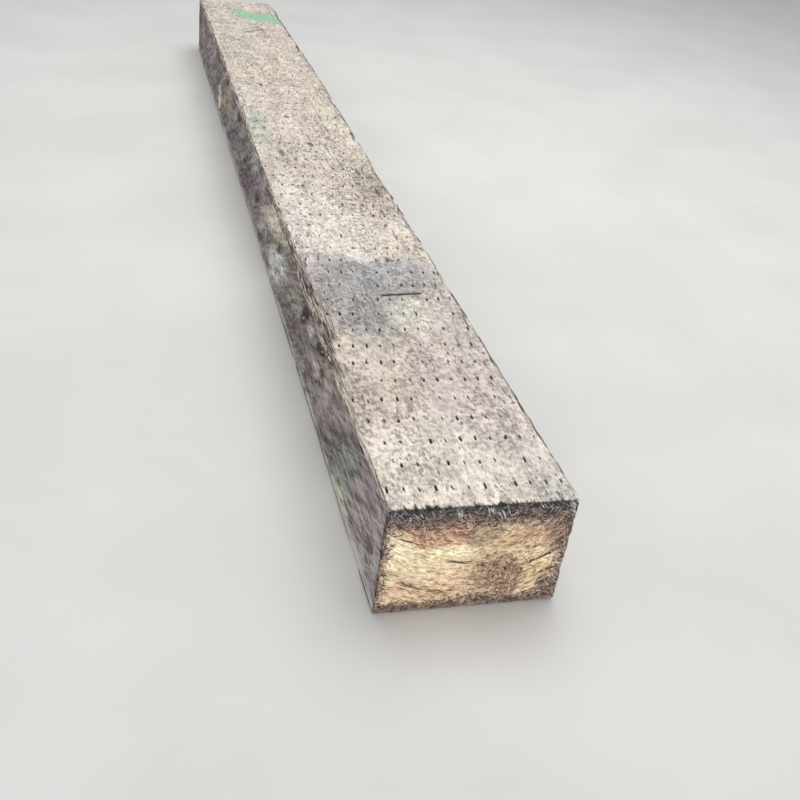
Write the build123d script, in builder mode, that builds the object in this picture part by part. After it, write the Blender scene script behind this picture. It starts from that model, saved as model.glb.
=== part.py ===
from build123d import *
from math import cos, radians, sin
import os

# A railway sleeper: one squared timber, incised for its preservative and cross-cut to length.
# Millimetres. The origin is the middle of the underside. +X runs along the grain, away from the
# newly sawn end, +Y points to the side with the worn upper arris, and +Z points up.

# The squared timber
length = 2600
width = 240
height = 160

# Radius of each long arris, as rubbed by handling
upper_arris_radius = 5
lower_arris_radius = 4

# Incising: slits along the grain, in rows across it, with every other row set half a pitch over
slit_length = 13
slit_width = 2.6
slit_depth = 10
slit_pitch = 20
row_pitch = 48
row_end_margin = 39
slit_arris_margin = 9

# Worn stretches of the two upper arrises, measured in along the corner's bisector.
# Each point is a share of the length, from the newly sawn end, and the depth there.
left_arris_wear = [
    (0.00, 1.0), (0.07, 2.6), (0.10, 6.5), (0.12, 4.2), (0.15, 8.0), (0.16, 11.0), (0.17, 8.5),
    (0.19, 8.0), (0.195, 13.0), (0.205, 12.5), (0.21, 7.5), (0.25, 10.0), (0.30, 5.0), (0.38, 3.0),
    (0.52, 4.2), (0.555, 6.5), (0.57, 4.0), (0.66, 2.6), (0.83, 4.6), (1.00, 3.4),
]
right_arris_wear = [
    (0.00, 4.5), (0.02, 1.6), (0.30, 2.2), (0.47, 3.6), (0.62, 2.6), (0.80, 7.0), (0.92, 11.0),
    (1.00, 12.0),
]
wear_cutter_size = 60

# Drying checks in the long faces: the place along the length as a share of it, the place across
# the face from its middle, and the check's length, width and depth
top_checks = [
    (0.03, -75, 130, 1.6, 8),
    (0.20, 45, 180, 1.4, 8),
    (0.44, -25, 240, 1.6, 10),
    (0.66, 25, 280, 1.6, 10),
    (0.86, -65, 220, 1.6, 10),
]
left_checks = [
    (0.09, -15, 300, 2.4, 16),
    (0.27, 25, 640, 3.2, 24),
    (0.48, -25, 560, 2.8, 22),
    (0.72, 5, 700, 3.4, 28),
    (0.90, 35, 360, 2.4, 16),
]
right_checks = [
    (0.16, 15, 420, 2.6, 20),
    (0.45, -35, 600, 3.0, 24),
    (0.78, 5, 680, 3.2, 26),
]
under_checks = [
    (0.24, -40, 560, 2.6, 20),
    (0.70, 35, 720, 3.0, 24),
]

# Scores left by a tool or a wire across the top: the place along the length as a share of it,
# the place across the face from its middle, the angle to the grain, and length, width and depth
top_scores = [
    (0.206, -33, 96, 76, 6, 3),
    (0.855, -10, 125, 80, 7, 3),
]

# The heart of the log lies above the timber, so the far end's checks point up to it
heart_above_top = 90
end_check_angles = [-24, -7, 13, 27]
end_check_length = 84
end_check_width = 3.4
end_check_depth = 55
end_check_below_top = 62

os.makedirs("parts", exist_ok=True)


def wedge(mouth_length, mouth_width, depth):
    """A slim slot: a four-sided mouth along X that narrows to a point below its middle."""
    with BuildPart() as slot:
        with BuildSketch() as mouth:
            with BuildLine():
                Polyline(
                    (-mouth_length / 2, 0),
                    (0, mouth_width / 2),
                    (mouth_length / 2, 0),
                    (0, -mouth_width / 2),
                    close=True,
                )
            make_face()
        loft(sections=[mouth.sketch.face(), Vertex(0, 0, -depth)])
    return slot.part


def slit_places(face_width):
    """Where the incising rollers leave their slits on a face of this width."""
    most_in_row = int((face_width - 2 * slit_arris_margin) // slit_pitch) + 1
    rows = int((length - 2 * row_end_margin) // row_pitch) + 1
    places = []
    for row in range(rows):
        in_row = most_in_row - row % 2
        for slit in range(in_row):
            along = -length / 2 + row_end_margin + row * row_pitch
            across = (slit - (in_row - 1) / 2) * slit_pitch
            places.append((along, across))
    return places


def arris_wear(side, wear):
    """The cutter that wears one upper arris: its lower outline, pushed across the corner."""
    corner = Plane(origin=(0, side * width / 2, height), x_dir=(1, 0, 0), z_dir=(0, -side, 1))
    out = wear_cutter_size / 2 * side
    worn_line = [((share - 0.5) * length, -side * depth) for share, depth in wear]
    overrun = wear_cutter_size
    with BuildPart() as cutter:
        with BuildSketch(corner):
            with BuildLine():
                Polyline(
                    (-length / 2 - overrun, out),
                    (-length / 2 - overrun, worn_line[0][1]),
                    *worn_line,
                    (length / 2 + overrun, worn_line[-1][1]),
                    (length / 2 + overrun, out),
                    close=True,
                )
            make_face()
        extrude(amount=wear_cutter_size, both=True)
    return cutter.part


# Each long face as a plane: X along the grain, Z out of the wood
top_face = Plane(origin=(0, 0, height), x_dir=(1, 0, 0), z_dir=(0, 0, 1))
under_face = Plane(origin=(0, 0, 0), x_dir=(1, 0, 0), z_dir=(0, 0, -1))
left_face = Plane(origin=(0, width / 2, height / 2), x_dir=(1, 0, 0), z_dir=(0, 1, 0))
right_face = Plane(origin=(0, -width / 2, height / 2), x_dir=(1, 0, 0), z_dir=(0, -1, 0))

# The underside is the bed that the sleeper lies on, and keeps its sawn surface
incised_faces = [(top_face, width), (left_face, height), (right_face, height)]
checked_faces = [
    (top_face, top_checks),
    (left_face, left_checks),
    (right_face, right_checks),
    (under_face, under_checks),
]

slit = wedge(slit_length, slit_width, slit_depth)
end_check = wedge(end_check_length, end_check_width, end_check_depth)

with BuildPart() as sleeper:
    # The sawn baulk, with its rubbed arrises
    with BuildSketch(Plane.YZ.offset(-length / 2)) as section:
        with Locations((0, height / 2)):
            Rectangle(width, height)
        fillet(section.vertices().group_by(Axis.Y)[-1], upper_arris_radius)
        fillet(section.vertices().group_by(Axis.Y)[0], lower_arris_radius)
    extrude(amount=length)

    # Worn upper arrises
    add(arris_wear(1, left_arris_wear), mode=Mode.SUBTRACT)
    add(arris_wear(-1, right_arris_wear), mode=Mode.SUBTRACT)

    # Drying checks in the long faces
    for face, checks in checked_faces:
        for share, across, check_length, check_width, check_depth in checks:
            with Locations(face.location * Location(((share - 0.5) * length, across, 0))):
                add(wedge(check_length, check_width, check_depth), mode=Mode.SUBTRACT)

    # Scores across the top
    for share, across, angle, score_length, score_width, score_depth in top_scores:
        along = (share - 0.5) * length
        with Locations(top_face.location * Location((along, across, 0), (0, 0, angle))):
            add(wedge(score_length, score_width, score_depth), mode=Mode.SUBTRACT)

    # Drying checks in the far end, which run out from the heart
    for angle in end_check_angles:
        reach = heart_above_top + end_check_below_top
        middle = (
            length / 2,
            reach * sin(radians(angle)),
            height + heart_above_top - reach * cos(radians(angle)),
        )
        outward = (0, sin(radians(angle)), -cos(radians(angle)))
        with Locations(Plane(origin=middle, x_dir=outward, z_dir=(1, 0, 0)).location):
            add(end_check, mode=Mode.SUBTRACT)

    # Incisions
    for face, face_width in incised_faces:
        with Locations(face.location):
            with Locations(*slit_places(face_width)):
                add(slit, mode=Mode.SUBTRACT, clean=False)

sleeper.part.label = "sleeper"
export_step(sleeper.part, "parts/sleeper.step")
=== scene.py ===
import math
from collections import namedtuple

import bpy
import numpy as np
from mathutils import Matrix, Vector
from mathutils.geometry import delaunay_2d_cdt


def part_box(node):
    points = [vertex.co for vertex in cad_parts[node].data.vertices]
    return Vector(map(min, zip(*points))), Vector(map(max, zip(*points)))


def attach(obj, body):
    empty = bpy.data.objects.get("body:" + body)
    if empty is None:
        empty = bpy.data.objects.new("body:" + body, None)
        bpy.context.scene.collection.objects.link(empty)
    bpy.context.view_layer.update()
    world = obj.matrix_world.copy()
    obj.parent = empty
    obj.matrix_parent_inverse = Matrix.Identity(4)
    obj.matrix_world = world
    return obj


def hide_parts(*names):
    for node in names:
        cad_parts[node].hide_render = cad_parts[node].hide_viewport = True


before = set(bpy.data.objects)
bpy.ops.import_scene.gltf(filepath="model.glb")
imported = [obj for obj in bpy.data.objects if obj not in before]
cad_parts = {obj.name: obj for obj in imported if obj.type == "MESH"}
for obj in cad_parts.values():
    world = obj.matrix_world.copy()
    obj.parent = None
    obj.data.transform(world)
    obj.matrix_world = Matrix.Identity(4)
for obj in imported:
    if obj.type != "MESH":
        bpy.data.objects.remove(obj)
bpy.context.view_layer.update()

# Everything below is worked out in millimetres and written to Blender in metres.
# u runs along the timber from its newly sawn end, y across it and z up, as in the frame.
MM = 0.001
low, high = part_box("sleeper")
LENGTH = (high.x - low.x) / MM
WIDTH = (high.y - low.y) / MM
HEIGHT = (high.z - low.z) / MM
START = low.x / MM

# Incisions, at the pitches of the solid
SLIT_PITCH = 20
COLUMN_PITCH = SLIT_PITCH / 2
ROW_PITCH = 48
ROW_MARGIN = 39
SLIT_ARRIS_MARGIN = 9
SLIT_HALF_LENGTH = 6.5
SLIT_SHOULDER = 2.4
SLIT_HALF_WIDTH = 2.0
SLIT_TIP_LIP = 2.1
SLIT_DEPTH = 9

# Arris radii, and the worn stretches of the arrises: share of the length, depth
UPPER_RADIUS = 5
LOWER_RADIUS = 4
LEFT_WEAR = [
    (0.00, 1.0), (0.07, 2.6), (0.10, 6.5), (0.12, 4.2), (0.15, 8.0), (0.16, 11.0), (0.17, 8.5),
    (0.19, 8.0), (0.195, 13.0), (0.205, 12.5), (0.21, 7.5), (0.25, 10.0), (0.30, 5.0), (0.38, 3.0),
    (0.52, 4.2), (0.555, 6.5), (0.57, 4.0), (0.66, 2.6), (0.83, 4.6), (1.00, 3.4),
]
RIGHT_WEAR = [
    (0.00, 4.5), (0.02, 1.6), (0.30, 2.2), (0.47, 3.6), (0.62, 2.6), (0.80, 7.0), (0.92, 11.0),
    (1.00, 12.0),
]
LOWER_WEAR = [(0, 1.2), (1, 1.2)]

# Drying checks of the solid, on each face: share of the length, place across, length, width, depth
CHECKS = {
    "top": [
        (0.03, -75, 130, 1.6, 8), (0.20, 45, 180, 1.4, 8), (0.44, -25, 240, 1.6, 10),
        (0.66, 25, 280, 1.6, 10), (0.86, -65, 220, 1.6, 10),
    ],
    "left": [
        (0.09, -15, 300, 2.4, 16), (0.27, 25, 640, 3.2, 24), (0.48, -25, 560, 2.8, 22),
        (0.72, 5, 700, 3.4, 28), (0.90, 35, 360, 2.4, 16),
    ],
    "right": [(0.16, 15, 420, 2.6, 20), (0.45, -35, 600, 3.0, 24), (0.78, 5, 680, 3.2, 26)],
    "under": [(0.24, -40, 560, 2.6, 20), (0.70, 35, 720, 3.0, 24)],
}

# The far end's checks point to the heart of the log, above the timber
HEART_ABOVE_TOP = 90
HEART_Y = 6
RING_RADIUS = 190
END_CHECK_ANGLES = [-24, -7, 13, 27]
END_CHECK_LENGTH = 84
END_CHECK_WIDTH = 3.4
END_CHECK_DEPTH = 40
END_CHECK_BELOW_TOP = 62


# Noise

def lattice(ix, iy, seed):
    """A fixed number from 0 to 1 for each pair of whole numbers."""
    mask = 0x7FFFFFFF
    mixed = (ix.astype(np.int64) * 374761393 + iy.astype(np.int64) * 668265263
             + seed * 974634777) & mask
    mixed = ((mixed ^ (mixed >> 13)) * 1274126177) & mask
    mixed = ((mixed ^ (mixed >> 15)) * 1103515245) & mask
    return ((mixed ^ (mixed >> 16)) & 0xFFFFFF) / 0xFFFFFF


def noise(x, y, seed):
    """Smooth noise from 0 to 1, with features about one unit across."""
    x, y = np.broadcast_arrays(np.asarray(x, float), np.asarray(y, float))
    ix, iy = np.floor(x), np.floor(y)
    fx, fy = x - ix, y - iy
    fx, fy = fx * fx * (3 - 2 * fx), fy * fy * (3 - 2 * fy)
    near = lattice(ix, iy, seed) * (1 - fx) + lattice(ix + 1, iy, seed) * fx
    far = lattice(ix, iy + 1, seed) * (1 - fx) + lattice(ix + 1, iy + 1, seed) * fx
    return near * (1 - fy) + far * fy


def rough(x, y, seed, octaves=3):
    """Several octaves of noise, from 0 to 1."""
    total, weight, most = 0, 1.0, 0.0
    for octave in range(octaves):
        total = total + noise(x * 2 ** octave, y * 2 ** octave, seed + octave) * weight
        most += weight
        weight /= 2
    return total / most


# The timber's skin: lines round the section and lines along the timber

# Each long face: its span, which way its lines run, whether it is incised and has fine lines,
# how many fine checks it has, how far the checks gape and how dark their painted shade is, and the
# depths of its relief
Face = namedtuple("Face", "span sign incised fine hair_checks opened wave ridge fuzz")
FACES = {
    "top": Face(WIDTH, -1, True, True, 12, 0.6, 1.3, 0.9, 0.5),
    "right": Face(HEIGHT, -1, True, False, 18, 1.0, 1.6, 1.2, 0.6),
    "under": Face(WIDTH, 1, False, False, 0, 1.0, 0.8, 0.6, 0.4),
    "left": Face(HEIGHT, 1, True, True, 24, 0.8, 1.8, 1.5, 0.7),
}
FACE_NAMES = list(FACES)
# The faces' numbers, and those of the ends, which are also the slots of their materials
TOP, RIGHT, UNDER, LEFT, SAWN_END, OLD_END = range(6)
# How far the lines beside a slit or a check stand off before it opens, for fine faces or not
LIP_AT_REST = {True: 2.5, False: 3.3}
CHECK_LIP_AT_REST = 1.2
ARRIS_STEPS = 4
SIDES = (-1, 0, 1)
# The share of the relief's depths in FACES that is used
RELIEF_SHARE = 0.85


def last_column(name):
    """The last column on each side of a face's middle. Every other column has slits in a row."""
    return int((FACES[name].span - 2 * SLIT_ARRIS_MARGIN) // SLIT_PITCH)


def across_lines(name):
    """The lines along one face, as (place across, middle of its group, side of that middle).

    Slits and checks have a group of three lines: two lips and the bottom between them."""
    face = FACES[name]
    half = face.span / 2
    low_radius = UPPER_RADIUS if name == "top" else LOWER_RADIUS
    high_radius = LOWER_RADIUS if name == "under" else UPPER_RADIUS
    lines = [(low_radius - half, None, 0), (half - high_radius, None, 0)]
    checked = sorted({check[1] for check in CHECKS[name]})
    last = last_column(name)
    for column in range(-last, last + 1):
        middle, lip = column * COLUMN_PITCH, LIP_AT_REST[face.fine]
        if face.incised:
            lines += [(middle + side * lip, middle, side) for side in SIDES]
        halfway = (column + 0.5) * COLUMN_PITCH
        wanted = column < last if face.fine else not face.incised
        if wanted and halfway not in checked:
            lines.append((halfway, None, 0))
    for place in checked:
        lines += [(place + side * CHECK_LIP_AT_REST, place, side) for side in SIDES]
    return sorted(lines, key=lambda line: line[0] * face.sign)


def face_base(name, place):
    """A place across a face as (y, z, outward y, outward z)."""
    return {
        "top": (place, HEIGHT, 0, 1), "right": (-WIDTH / 2, HEIGHT / 2 + place, -1, 0),
        "under": (place, 0, 0, -1), "left": (WIDTH / 2, HEIGHT / 2 + place, 1, 0),
    }[name]


def make_ring():
    """The section's outline, clockwise as seen from the newly sawn end, from the upper left.

    Each line is (face, place across, group, side in the group, y, z, outward y, outward z)."""
    ring = []
    for number, name in enumerate(FACE_NAMES):
        for line in across_lines(name):
            ring.append((number, *line, *face_base(name, line[0])))
        # The arris after the face: its middle, and the quarter turn round it
        upper = number in (TOP, LEFT)
        radius = UPPER_RADIUS if upper else LOWER_RADIUS
        y = (WIDTH / 2 - radius) * (-1 if number in (TOP, RIGHT) else 1)
        z = HEIGHT - radius if upper else radius
        for step in range(1, ARRIS_STEPS):
            angle = math.radians(90 * ((number + 1) % 4) + 90 * step / ARRIS_STEPS)
            out = math.cos(angle), math.sin(angle)
            ring.append((number, None, None, 0, y + radius * out[0], z + radius * out[1], *out))
    return ring


END_LINES = [0, 1.5, 3.5, 6, 9.5, 14, 21]
# The lines across a slit: how far along from its middle, and whether the slit ends there
SLIT_LINES = [(-SLIT_HALF_LENGTH, True), (-SLIT_SHOULDER, False),
              (SLIT_SHOULDER, False), (SLIT_HALF_LENGTH, True)]
# The left arris is torn up to here, so the lines across stand closer
TORN_UP_TO = 760


def make_stations():
    """The lines across the timber, as (u, row of slits), and the number of rows."""
    stations = [(u, None) for u in END_LINES]
    rows = int((LENGTH - 2 * ROW_MARGIN) // ROW_PITCH) + 1
    for row in range(rows):
        middle = ROW_MARGIN + row * ROW_PITCH
        stations += [(middle + along, row) for along, _ in SLIT_LINES]
        if row < rows - 1:
            parts = 4 if middle < TORN_UP_TO else 2
            gap = (ROW_PITCH - 2 * SLIT_HALF_LENGTH) / parts
            stations += [(middle + SLIT_HALF_LENGTH + part * gap, None) for part in range(1, parts)]
    last = stations[-1][0]
    stations.append(((last + LENGTH - END_LINES[-1]) / 2, None))
    stations += [(LENGTH - u, None) for u in reversed(END_LINES)]
    return stations, rows


class Skin:
    """The grid of the four long faces: where each point is, how deep, how much painted shade it has
    in a hollow, how worn.
    """

    def __init__(self):
        self.ring = make_ring()
        self.stations, self.rows = make_stations()
        self.u = np.array([s[0] for s in self.stations])[:, None] * np.ones(len(self.ring))
        self.shift, self.depth, self.hollow, self.worn = np.zeros((4, *self.u.shape))
        self.face = np.array([line[0] for line in self.ring])
        self.place = np.array([line[1] for line in self.ring], float)
        self.y, self.z, self.out_y, self.out_z = np.array([line[4:] for line in self.ring]).T
        self.group = {}
        for number, (face, _, group, side, *_) in enumerate(self.ring):
            self.group.setdefault((FACE_NAMES[face], group), {})[side] = number
        self.row_lines = {}
        for number, (_, row) in enumerate(self.stations):
            self.row_lines.setdefault(row, []).append(number)

    def round_place(self):
        """The distance round the section, for noise that runs over the arrises."""
        y, z = self.y, self.z
        steps = np.hypot(np.diff(y, append=y[0]), np.diff(z, append=z[0]))
        return np.concatenate([[0], np.cumsum(steps)[:-1]])[None, :]


def add_relief(skin):
    """Weathered ridges along the grain and broad waves, cut into the sawn faces."""
    s = skin.round_place()
    u = skin.u
    bend = 5 * noise(u / 420, s / 90, 3)
    for number, face in enumerate(FACES.values()):
        here = skin.face == number
        across = s[:, here] + bend[:, here]
        along = u[:, here]
        wave = rough(along / 330, across / 60, 11 + number, 2)
        ridge = 1 - np.abs(2 * noise(along / 210, across / 8, 21 + number) - 1)
        ridge *= 0.45 + 0.55 * noise(along / 150, across / 34, 31 + number)
        fuzz = noise(along / 31, across / 3.1, 41 + number)
        skin.depth[:, here] += face.wave * wave + face.ridge * ridge ** 1.5 + face.fuzz * fuzz
    skin.depth *= RELIEF_SHARE


# How far slits are out of line along and across, the range of their lengths and openings as
# shares, and how many have closed again
SLIT_STRAY_ALONG = 1.1
SLIT_STRAY_ACROSS = 0.55
SLIT_STRETCH = (0.72, 1.12)
SLIT_OPEN = (0.55, 1.15)
SLIT_CLOSED = (0.1, 0.3)
CLOSED_SHARE = 0.14


def add_slits(skin, rng):
    """Incisions: a sharp pit with a lens-shaped mouth, each a little out of line."""
    for name, face in FACES.items():
        last = last_column(name)
        rows = skin.rows if face.incised else 0
        for row in range(rows):
            for column in range(-last + row % 2, last + 1, 2):
                along, across = rng.normal(0, SLIT_STRAY_ALONG), rng.normal(0, SLIT_STRAY_ACROSS)
                stretch = rng.uniform(*SLIT_STRETCH)
                opened = rng.uniform(*(SLIT_OPEN if rng.random() > CLOSED_SHARE else SLIT_CLOSED))
                middle = column * COLUMN_PITCH
                group = skin.group[(name, middle)]
                for i, (reach, tip) in zip(skin.row_lines[row], SLIT_LINES):
                    lip = SLIT_TIP_LIP if tip else SLIT_HALF_WIDTH * opened
                    for side, j in group.items():
                        skin.u[i, j] = ROW_MARGIN + row * ROW_PITCH + along + reach * stretch
                        skin.shift[i, j] = middle + across + side * lip - skin.place[j]
                    if not tip:
                        skin.depth[i, group[0]] += SLIT_DEPTH * (0.35 + 0.65 * opened)
                        # The slit's bottom gets painted shade, darker as the slit opens wider
                        skin.hollow[i, group[0]] = min(1.0, 0.35 + opened)


# Checks close again towards their bottom, to this share of the solid's depth
CHECK_DEPTH_SHARE = 0.6
# Fine checks that run through the slits: the shares of the timber's length that their middles
# lie between, and their lengths, widths and depths
HAIR_MIDDLES = (0.02, 0.98)
HAIR_LENGTHS = (90, 420)
HAIR_WIDTHS = (0.6, 1.4)
HAIR_DEPTHS = (2.5, 6)


def add_checks(skin, rng):
    """Drying checks: long grooves along the grain that taper out at both ends."""
    for name, face in FACES.items():
        for share, place, length, width, depth in CHECKS[name]:
            open_check(skin, name, place, share * LENGTH, length, width * face.opened,
                       depth * CHECK_DEPTH_SHARE)
        last = last_column(name)
        for _ in range(face.hair_checks):
            place = int(rng.integers(-last, last + 1)) * COLUMN_PITCH
            middle = rng.uniform(*HAIR_MIDDLES) * LENGTH
            open_check(skin, name, place, middle, rng.uniform(*HAIR_LENGTHS),
                       rng.uniform(*HAIR_WIDTHS), rng.uniform(*HAIR_DEPTHS))


def open_check(skin, name, place, middle, length, width, depth):
    """One groove in a face, on the group of lines at a place across it."""
    group = skin.group[(name, place)]
    darkest = FACES[name].opened
    for i, (u, _) in enumerate(skin.stations):
        run = (u - middle) / (length / 2)
        if abs(run) >= 1:
            continue
        swell = (1 - run * run) ** 0.7 * (0.55 + 0.6 * noise(u / 37, place, 71))
        drift = 1.3 * (noise(u / 130, place * 0.37, 72) - 0.5)
        j = group[0]
        if skin.hollow[i, j] > 0:
            skin.depth[i, j] += depth * swell * 0.4
            continue
        skin.shift[i, j] = place + drift - skin.place[j]
        skin.depth[i, j] += depth * swell
        # The check's bottom gets painted shade, darker where it swells wide
        skin.hollow[i, j] = min(darkest, 0.25 + swell) * darkest
        for side in (-1, 1):
            k = group[side]
            skin.shift[i, k] = place + drift + side * width / 2 * max(swell, 0.3) - skin.place[k]


def skin_points(skin):
    """Where the grid's points are: arrays of u, y and z."""
    lying = (skin.face == TOP) | (skin.face == UNDER)
    flat = ~np.isnan(skin.place)
    y = skin.y + np.where(lying & flat, skin.shift, 0) - skin.depth * skin.out_y
    z = skin.z + np.where(~lying & flat, skin.shift, 0) - skin.depth * skin.out_z
    return skin.u.copy(), y, z


# Each arris: its side, whether it is an upper one, its wear, and the seed of its chips
ARRISES = [(1, True, LEFT_WEAR, 201), (-1, True, RIGHT_WEAR, 211), (1, False, LOWER_WEAR, 221),
           (-1, False, LOWER_WEAR, 231)]
# An arris is cut only where a point is this near to it, on both faces
NEAR_ARRIS = 40


def wear_depth(u, wear, seed):
    """How deep an arris is worn at u: the stretches of the solid, with chips and torn fibres."""
    shares, depths = zip(*wear)
    base = np.interp(u, np.array(shares) * LENGTH, depths)
    chips = np.maximum(0, rough(u / 46, 0 * u, seed, 2) - 0.52) * 14
    torn = 1.1 * noise(u / 11, 0 * u, seed + 5)
    return base * (0.8 + 0.4 * noise(u / 70, 0 * u, seed + 7)) + chips + torn - 0.8


def wear_arris(skin, u, y, z, side_y, upper, wear, seed):
    """Cuts an arris back to a ragged flat at 45 degrees."""
    from_side = WIDTH / 2 - side_y * y
    from_level = HEIGHT - z if upper else z
    inside = (from_side + from_level) / math.sqrt(2)
    skew = from_side - from_level
    ragged = (1.6 * noise(u / 90, skew / 4, seed + 100)
              + 0.7 * noise(u / 17, skew / 2, seed + 101))
    cut = np.maximum(0, wear_depth(u, wear, seed) + ragged - 0.9 - inside)
    near = (from_side < NEAR_ARRIS) & (from_level < NEAR_ARRIS)
    cut = np.where(near, cut, 0)
    y -= side_y * cut / math.sqrt(2)
    z += (-1 if upper else 1) * cut / math.sqrt(2)
    skin.worn = np.maximum(skin.worn, np.clip(cut / 1.5, 0, 1))


def fray_near_end(skin, u, y, z):
    """Breaks up the edges of the saw cut: torn notches that run back along the grain."""
    s = skin.round_place()
    upper = (skin.face == TOP)[None, :]
    notch = np.maximum(0, noise(s / 5.2, 0 * s, 91) - 0.42) * 1.7
    reach = 4 + 11 * noise(s / 4.1, 0 * s, 92)
    fade = np.clip(1 - u / reach, 0, 1)
    bite = notch * fade * np.where(upper, 3.2, 1.8)
    y -= bite * skin.out_y
    z -= bite * skin.out_z
    u += np.where(u < 0.1, 1.2 * noise(s / 3.3, 0 * s, 93) * np.where(upper, 1, 0.6), 0)
    # The torn notches get painted shade, darker where they bite deeper
    skin.hollow = np.maximum(skin.hollow, np.clip(bite / 3, 0, 0.7))


# The points inside an end: the height of a row and how far a point may stray, in spacings
CAP_ROW = 0.87
CAP_STRAY = 0.3
# Points nearer to the outline than this share of the spacing are left out
CAP_MARGIN = 0.35


def end_cap(y, z, spacing, rng, extra):
    """Triangles that fill one end: points inside the outline, the outline's own numbers first."""
    outline = [Vector(p) for p in zip(y, z)]
    points = np.array(outline)
    after = np.roll(points, -1, axis=0)
    edge = after - points
    inner = []
    for row in range(1, int((z.max() - z.min()) / (spacing * CAP_ROW))):
        for column in range(int((y.max() - y.min()) / spacing) + 1):
            a = column + 0.5 * (row % 2)
            stray = rng.uniform(-CAP_STRAY, CAP_STRAY, 2) * spacing
            inner.append((y.min() + a * spacing + stray[0],
                          z.min() + row * spacing * CAP_ROW + stray[1]))
    keep = []
    for p in np.array(inner + extra):
        along = np.clip(((p - points) * edge).sum(1) / (edge ** 2).sum(1), 0, 1)
        gap = np.hypot(*(points + edge * along[:, None] - p).T).min()
        crosses = (points[:, 1] > p[1]) != (after[:, 1] > p[1])
        at = points[:, 0] + (p[1] - points[:, 1]) / np.where(crosses, edge[:, 1], 1) * edge[:, 0]
        inside = (crosses & (at > p[0])).sum() % 2 == 1
        if inside and gap > spacing * CAP_MARGIN:
            keep.append(Vector(p))
    return delaunay_2d_cdt(outline + keep, [], [list(range(len(outline)))], 1, 1e-5)


def build_skin(rng):
    """The finished grid of the long faces, and where its points are."""
    skin = Skin()
    add_relief(skin)
    add_slits(skin, rng)
    add_checks(skin, rng)
    u, y, z = skin_points(skin)
    for arris in ARRISES:
        wear_arris(skin, u, y, z, *arris)
    fray_near_end(skin, u, y, z)
    return skin, u, np.clip(y, -WIDTH / 2, WIDTH / 2), np.clip(z, 0, HEIGHT)


# The spacing of the points inside the sawn end and the far end
SAWN_SPACING = 2.3
OLD_SPACING = 4.0


def timber_mesh():
    """The whole timber as one closed mesh."""
    rng = np.random.default_rng(7)
    skin, u, y, z = build_skin(rng)
    across = len(skin.ring)
    along = len(skin.stations)
    points = [np.stack([u + START, y, z], axis=-1).reshape(-1, 3)]
    hollow = [skin.hollow.reshape(-1)]
    worn = [skin.worn.reshape(-1)]
    i, j = np.meshgrid(np.arange(along - 1), np.arange(across), indexing="ij")
    k = (j + 1) % across
    quads = np.stack([i * across + j, i * across + k, (i + 1) * across + k, (i + 1) * across + j],
                     axis=-1)
    faces = quads.reshape(-1, 4).tolist()
    slots = skin.face.tolist() * (along - 1)
    count = along * across
    for far, at, spacing, slot in ((False, 0, SAWN_SPACING, SAWN_END),
                                   (True, along - 1, OLD_SPACING, OLD_END)):
        extra = far_check_points() if far else []
        places, _, triangles, came_from, *_ = end_cap(y[at], z[at], spacing, rng, extra)
        numbers = []
        fresh = []
        for inner, came in zip(places, came_from):
            outer = [c for c in came if c < across]
            numbers.append(at * across + outer[0] if outer else count + len(fresh))
            if not outer:
                fresh.append(inner)
        fresh = np.array(fresh)
        recess, dark = far_relief(fresh) if far else near_relief(fresh)
        x = START + (u[at].mean() + (-recess if far else recess))
        points.append(np.column_stack([x, fresh]))
        hollow.append(dark)
        worn.append(np.zeros(len(fresh)))
        for face in triangles:
            corner = [numbers[n] for n in face]
            faces.append(corner if far else corner[::-1])
            slots.append(slot)
        count += len(fresh)
    mesh = bpy.data.meshes.new("timber")
    mesh.from_pydata((np.concatenate(points) * MM).tolist(), [], faces)
    mesh.polygons.foreach_set("material_index", slots)
    for name, values in (("hollow", hollow), ("worn", worn)):
        data = mesh.attributes.new(name, "FLOAT", "POINT")
        data.data.foreach_set("value", np.concatenate(values).astype(np.float32))
    mesh.validate()
    return mesh


def far_check_lines():
    """The far end's checks: middle, direction outward from the heart, in (y, z)."""
    heart = np.array([0, HEIGHT + HEART_ABOVE_TOP])
    lines = []
    for angle in END_CHECK_ANGLES:
        out = np.array([math.sin(math.radians(angle)), -math.cos(math.radians(angle))])
        lines.append((heart + out * (HEART_ABOVE_TOP + END_CHECK_BELOW_TOP), out))
    return lines


# How far the points beside the far end's checks stand off
END_CHECK_LIP = 0.35


def far_check_points():
    """Points along the far end's checks, on both lips and in the middle."""
    points = []
    for middle, out in far_check_lines():
        side = np.array([-out[1], out[0]])
        for run in np.arange(-6, 7) / 6:
            half = END_CHECK_WIDTH / 2 * (1 - abs(run)) + END_CHECK_LIP
            for across in (-half, 0, half):
                points.append(tuple(middle + out * run * END_CHECK_LENGTH / 2 + side * across))
    return points


def far_relief(points):
    """How far each point of the weathered end is sunk, and how much painted shade it gets inside a
    check.
    """
    y, z = points.T
    recess = 0.4 + 1.6 * rough(y / 30, z / 30, 401) + 0.8 * noise(y / 5, z / 5, 402)
    hollow = np.zeros(len(points))
    for middle, out in far_check_lines():
        run = ((y - middle[0]) * out[0] + (z - middle[1]) * out[1]) / (END_CHECK_LENGTH / 2)
        off = np.abs(-(y - middle[0]) * out[1] + (z - middle[1]) * out[0])
        left = np.clip(1 - np.abs(run), 0, 1)
        half = END_CHECK_WIDTH / 2 * left + 0.05
        deep = np.where(left > 0, np.clip(1 - off / half, 0, 1), 0)
        recess = recess + deep * END_CHECK_DEPTH * left
        hollow = np.maximum(hollow, deep)
    return recess, hollow


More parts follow.
